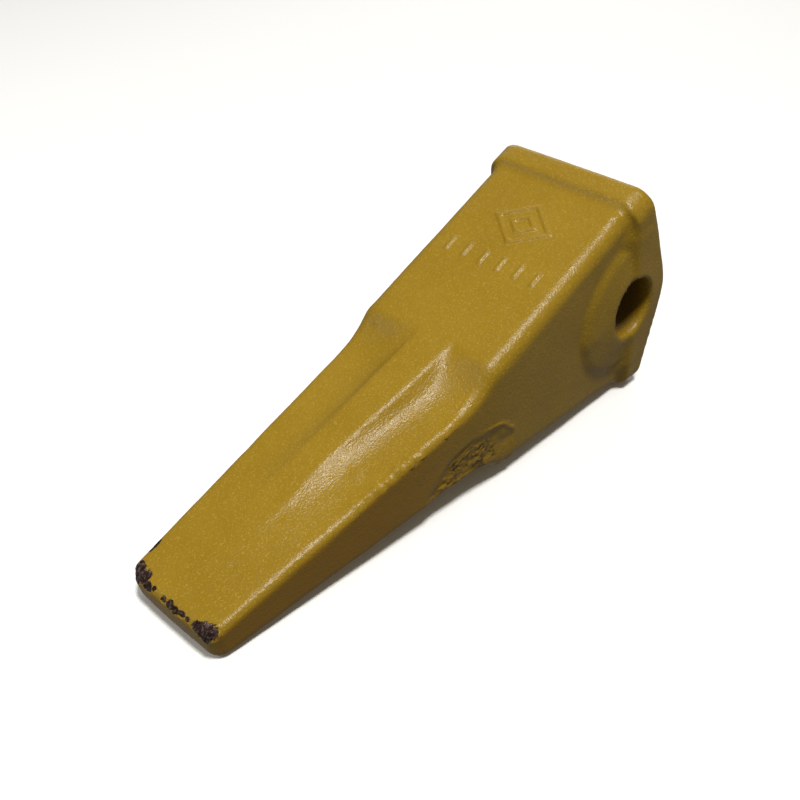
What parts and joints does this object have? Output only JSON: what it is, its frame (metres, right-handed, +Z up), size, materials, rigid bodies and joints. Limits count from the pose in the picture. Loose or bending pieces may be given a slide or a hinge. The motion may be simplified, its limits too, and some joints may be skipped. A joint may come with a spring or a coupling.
{
  "type": "excavator bucket tooth",
  "caption": "Side-pinned long tooth point for an excavator bucket, a cast wedge with a hollow socket, collar, ears and fluted blade, with its cross pin and snap retainer.",
  "frame": {"origin": "on the axis of the cross pin, midway between the two ears", "axes": "+Y along the cross pin towards its driving end, -X towards the cutting edge and +X out of the socket's mouth, +Z up; the point lies on a level floor on its cutting end and its collar's lower rear edge, so its nose axis is tipped 11.1 degrees, mouth upward"},
  "size_m": [0.3528, 0.1315, 0.1501],
  "materials": {
    "painted_casting": "satin ochre-yellow paint over a rough sand-cast skin, chipped to dark bare steel at the cutting edge",
    "pin_steel": "turned and heat-treated, thinly oiled",
    "ring_steel": "formed spring steel",
    "cushion_rubber": "matt black moulded rubber"
  },
  "bodies": {
    "point": {"tooth_point": "painted_casting"},
    "pin": {"retaining_pin": "pin_steel"},
    "retainer": {"retainer_ring": "ring_steel", "retainer_cushion": "cushion_rubber"}
  },
  "joints": [
    {"name": "pin_slide", "type": "slide", "parent": "point", "child": "pin", "axis": [0, 1, 0], "range_m": [-0.021, 0.093]},
    {"name": "retainer_slide", "type": "slide", "parent": "point", "child": "retainer", "axis": [0, -1, 0], "range_m": [0, 0.058]}
  ]
}
